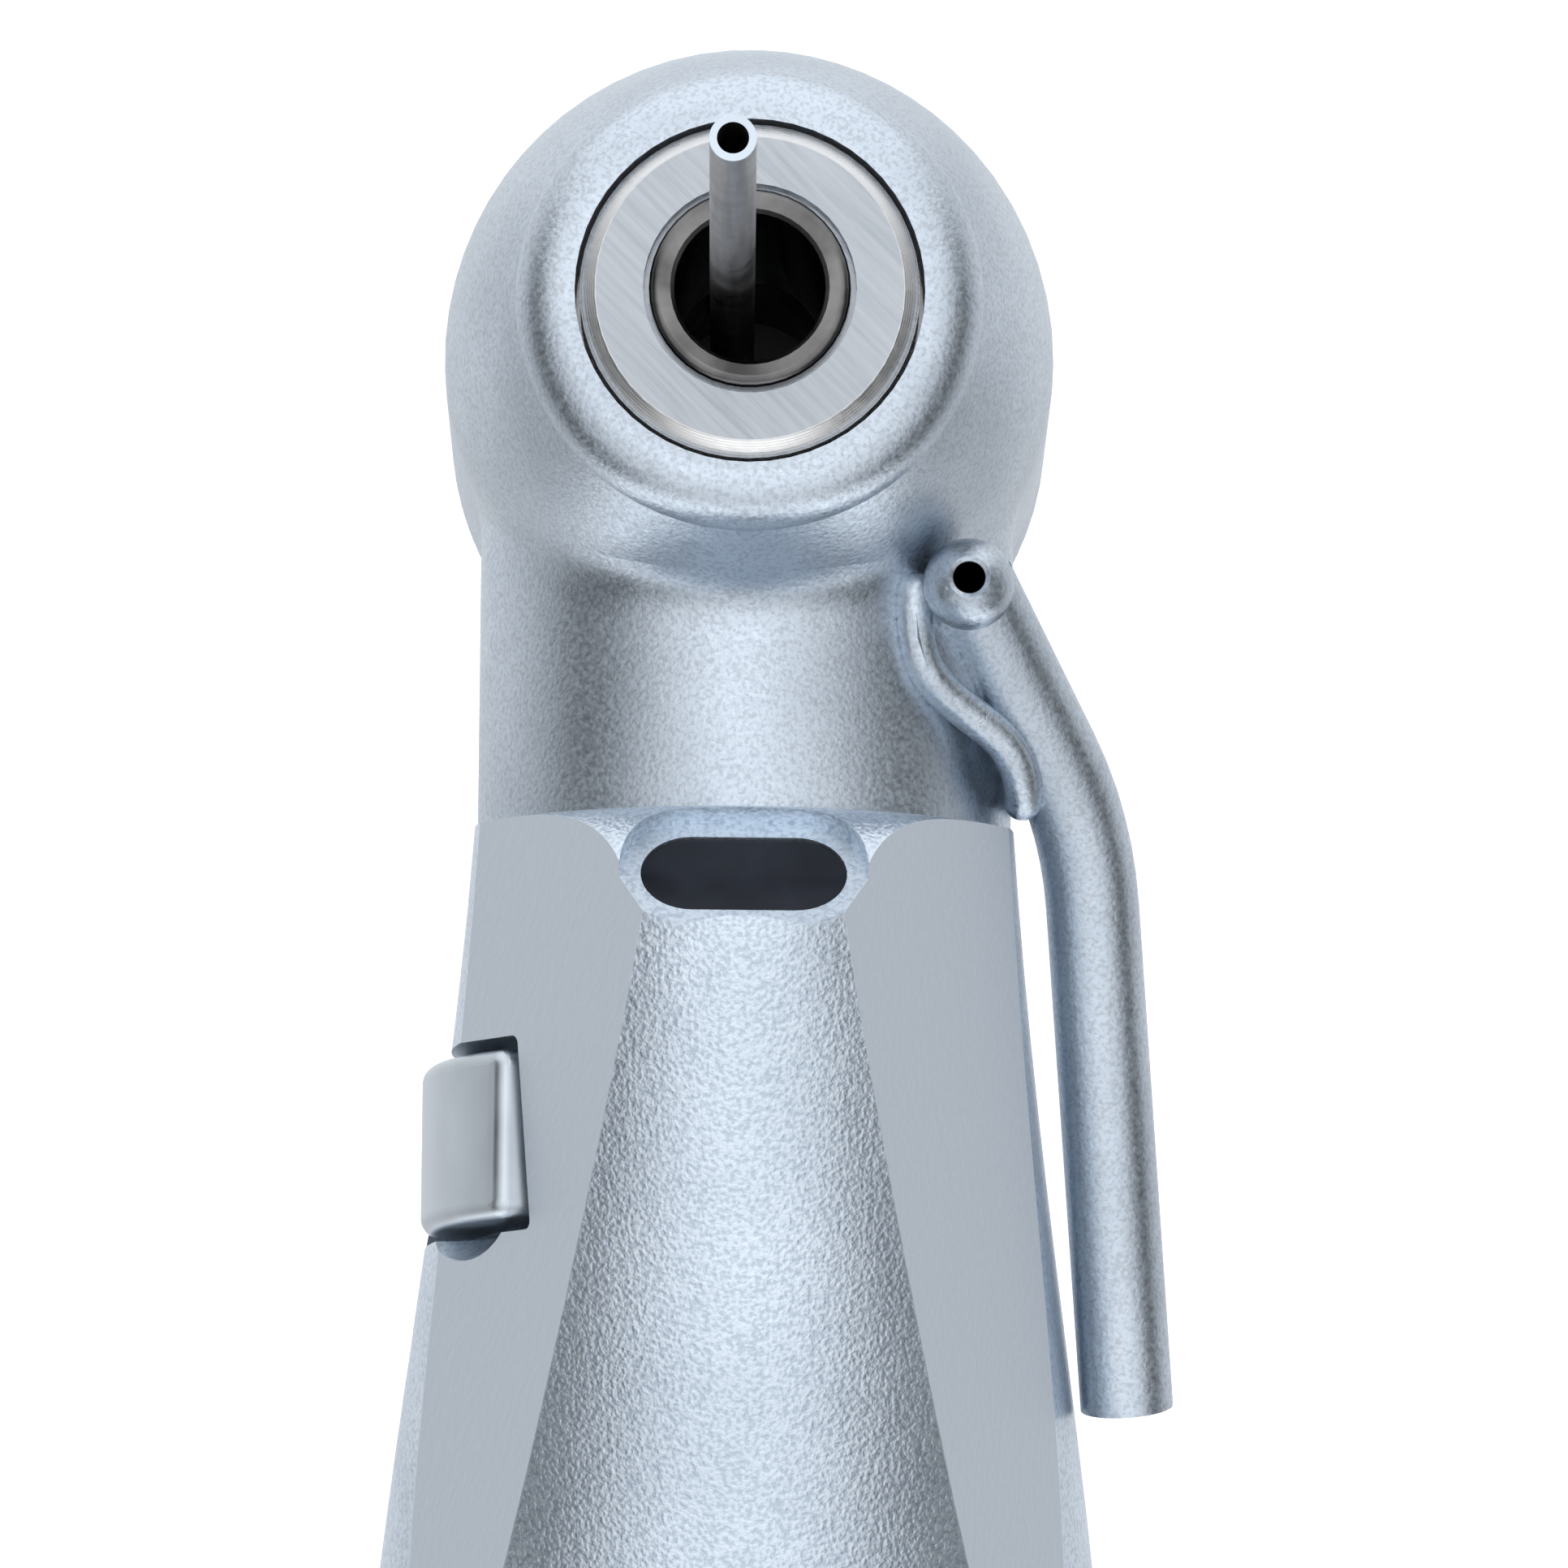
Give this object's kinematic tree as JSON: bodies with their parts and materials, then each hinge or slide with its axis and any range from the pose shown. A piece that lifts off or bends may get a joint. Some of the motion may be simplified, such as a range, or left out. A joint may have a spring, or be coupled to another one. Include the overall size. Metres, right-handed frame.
{
  "type": "surgical contra-angle handpiece",
  "caption": "Steel contra-angle surgical handpiece with a push-button chuck, irrigation tube through the chuck, side spray tube, light window and release button.",
  "frame": {"origin": "centre of the motor socket's mouth, at the handle's rear end", "axes": "+Z along the handle towards the head; the chuck opens towards -Y and leans up; -Z is the way the motor leaves the socket"},
  "size_m": [0.0164, 0.0241, 0.0931],
  "materials": {
    "blasted_steel": "bead-blasted satin",
    "ground_steel": "ground and blasted",
    "turned_steel": "fine turned",
    "polished_steel": "polished",
    "gear_steel": "machined",
    "bearing_steel": "ground",
    "spring_steel": "drawn",
    "button_steel": "satin",
    "window_glass": "polished, dark",
    "lamp_body": "matt",
    "ring_green": "satin",
    "tube_steel": "drawn"
  },
  "bodies": {
    "housing": {"button_spring": "spring_steel", "colour_ring": "ring_green", "coupling_sleeve": "turned_steel", "front_bearing_outer": "bearing_steel", "front_input_bearing_outer": "bearing_steel", "front_shaft_bearing_outer": "bearing_steel", "front_sleeve": "ground_steel", "head_cap": "blasted_steel", "head_housing": "blasted_steel", "irrigation_tube": "tube_steel", "light_lamp": "lamp_body", "light_window": "window_glass", "lower_neck_bearing_outer": "bearing_steel", "rear_bearing_outer": "bearing_steel", "rear_input_bearing_outer": "bearing_steel", "rear_shaft_bearing_outer": "bearing_steel", "rear_sleeve": "ground_steel", "release_spring": "spring_steel", "ring_gear": "gear_steel", "spray_bracket": "blasted_steel", "spray_nozzle": "blasted_steel", "spray_tube": "blasted_steel", "tube_saddle": "spring_steel", "upper_neck_bearing_outer": "bearing_steel"},
    "spindle": {"spindle": "turned_steel", "chuck_sleeve": "polished_steel", "chuck_jaws": "gear_steel", "chuck_plunger": "gear_steel", "spindle_gear": "gear_steel", "front_bearing_inner": "bearing_steel", "rear_bearing_inner": "bearing_steel"},
    "upper_shaft": {"upper_shaft": "gear_steel", "lower_neck_bearing_inner": "bearing_steel", "upper_neck_bearing_inner": "bearing_steel"},
    "carrier": {"lower_shaft": "gear_steel", "planet_carrier": "gear_steel", "planet_pin_1": "gear_steel", "planet_pin_2": "gear_steel", "planet_pin_3": "gear_steel", "front_shaft_bearing_inner": "bearing_steel", "rear_shaft_bearing_inner": "bearing_steel"},
    "planet_1": {"planet_gear_1": "gear_steel"},
    "planet_2": {"planet_gear_2": "gear_steel"},
    "planet_3": {"planet_gear_3": "gear_steel"},
    "input": {"input_shaft": "gear_steel", "drive_dog": "gear_steel", "rear_input_bearing_inner": "bearing_steel", "front_input_bearing_inner": "bearing_steel"},
    "push_button": {"push_button": "button_steel"},
    "release_button": {"release_button": "button_steel"}
  },
  "joints": [
    {"name": "carrier_spin", "type": "hinge", "parent": "housing", "child": "carrier", "pos_m": [0, 0, 0.076], "axis": [0, 0, 1], "continuous": true},
    {"name": "input_spin", "type": "hinge", "parent": "housing", "child": "input", "pos_m": [0, 0, 0.03], "axis": [0, 0, 1], "continuous": true},
    {"name": "upper_shaft_spin", "type": "hinge", "parent": "housing", "child": "upper_shaft", "pos_m": [0, 0, 0.076], "axis": [0, 0.3649, 0.9311], "continuous": true},
    {"name": "spindle_spin", "type": "hinge", "parent": "housing", "child": "spindle", "pos_m": [0, 0.00383, 0.08578], "axis": [0, -0.9135, 0.4067], "continuous": true},
    {"name": "planet_1_spin", "type": "hinge", "parent": "carrier", "child": "planet_1", "pos_m": [0.00297, 0, 0.046], "axis": [0, 0, 1], "continuous": true},
    {"name": "planet_2_spin", "type": "hinge", "parent": "carrier", "child": "planet_2", "pos_m": [-0.00148, 0.00257, 0.046], "axis": [0, 0, 1], "continuous": true},
    {"name": "planet_3_spin", "type": "hinge", "parent": "carrier", "child": "planet_3", "pos_m": [-0.00148, -0.00257, 0.046], "axis": [0, 0, 1], "continuous": true},
    {"name": "push_button_press", "type": "slide", "parent": "housing", "child": "push_button", "axis": [0, -0.9135, 0.4067], "range_m": [0, 0.0006], "stiffness_N_per_m": 5000, "springref_m": -0.001, "deforming": ["button_spring"]},
    {"name": "release_button_press", "type": "slide", "parent": "housing", "child": "release_button", "axis": [0.9563, 0.2722, -0.1067], "range_m": [0, 0.0005], "stiffness_N_per_m": 5000, "springref_m": -0.001, "deforming": ["release_spring"]}
  ],
  "couplings": [
    {"joint": "input_spin", "follows": "carrier_spin", "ratio": 6},
    {"joint": "upper_shaft_spin", "follows": "carrier_spin", "ratio": 1},
    {"joint": "spindle_spin", "follows": "carrier_spin", "ratio": -0.3},
    {"joint": "planet_1_spin", "follows": "carrier_spin", "ratio": -2.5},
    {"joint": "planet_2_spin", "follows": "carrier_spin", "ratio": -2.5},
    {"joint": "planet_3_spin", "follows": "carrier_spin", "ratio": -2.5}
  ]
}
